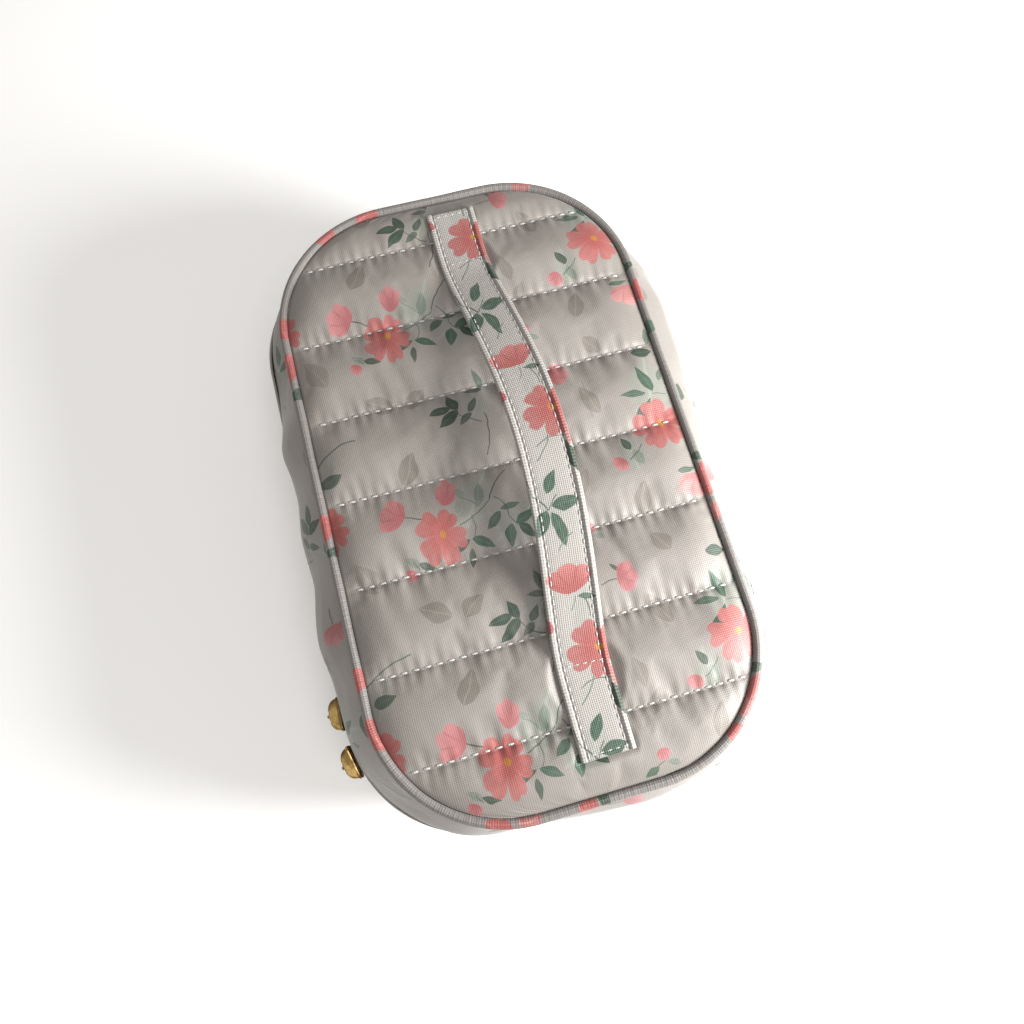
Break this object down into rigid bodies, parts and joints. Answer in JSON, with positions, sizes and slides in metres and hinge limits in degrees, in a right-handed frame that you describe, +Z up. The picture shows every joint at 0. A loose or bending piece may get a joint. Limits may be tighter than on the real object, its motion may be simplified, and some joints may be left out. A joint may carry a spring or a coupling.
{
  "type": "makeup bag",
  "caption": "Quilted soft makeup bag with piped edges, a zipper round three sides, a lid hinged on one long side and a strap handle on top.",
  "frame": {"origin": "centre of the flat underside", "axes": "+X to the fabric hinge on the right long side, +Y along the bag away from the zipper sliders, +Z up through the lid and its handle"},
  "size_m": [0.1682, 0.2378, 0.098],
  "materials": {
    "print_cloth": "satin",
    "piping_cloth": "satin",
    "strap_cloth": "matte",
    "strap_edge": "matte",
    "lining_cloth": "satin",
    "padding": "matte",
    "board": "matte",
    "zipper_cloth": "matte",
    "thread": "satin",
    "brass": "satin"
  },
  "bodies": {
    "base": {"base_panel_cover": "print_cloth", "base_wadding": "padding", "base_stiffener": "board", "base_panel_lining": "lining_cloth", "base_piping": "piping_cloth", "base_gusset": "print_cloth", "base_gusset_foam": "padding", "base_gusset_lining": "lining_cloth", "base_seam_binding": "lining_cloth", "zipper_tape_lower": "zipper_cloth", "zipper_teeth_lower": "zipper_cloth", "zipper_end_stop_far": "brass", "zipper_end_stop_near": "brass", "hinge_panel_lower": "print_cloth"},
    "lid": {"lid_panel_cover": "print_cloth", "lid_wadding": "padding", "lid_panel_lining": "lining_cloth", "lid_quilting_thread": "thread", "lid_piping": "piping_cloth", "lid_gusset": "print_cloth", "lid_gusset_foam": "padding", "lid_gusset_lining": "lining_cloth", "lid_seam_binding": "lining_cloth", "zipper_tape_upper": "zipper_cloth", "zipper_teeth_upper": "zipper_cloth", "hinge_panel_upper": "print_cloth", "handle_face": "strap_cloth", "handle_core": "padding", "handle_back": "strap_cloth", "handle_edge_left": "strap_edge", "handle_edge_right": "strap_edge", "handle_patch_far": "lining_cloth", "handle_patch_near": "lining_cloth", "handle_stitching_far": "thread", "handle_stitching_near": "thread"},
    "slider_a": {"slider_body_a": "brass", "slider_bridge_a": "brass"},
    "pull_a": {"pull_a": "brass"},
    "slider_b": {"slider_body_b": "brass", "slider_bridge_b": "brass"},
    "pull_b": {"pull_b": "brass"}
  },
  "joints": [
    {"name": "lid_hinge", "type": "hinge", "parent": "base", "child": "lid", "pos_m": [0.0812, 0, 0.048], "axis": [0, 1, 0], "range_deg": [0, 165]},
    {"name": "slider_a_run", "type": "slide", "parent": "base", "child": "slider_a", "axis": [0, 1, 0], "range_m": [0, 0.13]},
    {"name": "pull_a_swing", "type": "hinge", "parent": "slider_a", "child": "pull_a", "pos_m": [-0.08495, -0.065, 0.048], "axis": [0, 1, 0], "range_deg": [-8, 150]},
    {"name": "slider_b_run", "type": "hinge", "parent": "base", "child": "slider_b", "pos_m": [-0.033, -0.072, 0.048], "axis": [0, 0, 1], "range_deg": [0, 68]},
    {"name": "pull_b_swing", "type": "hinge", "parent": "slider_b", "child": "pull_b", "pos_m": [-0.08362, -0.08369, 0.048], "axis": [-0.225, 0.9744, 0], "range_deg": [-8, 150]}
  ]
}
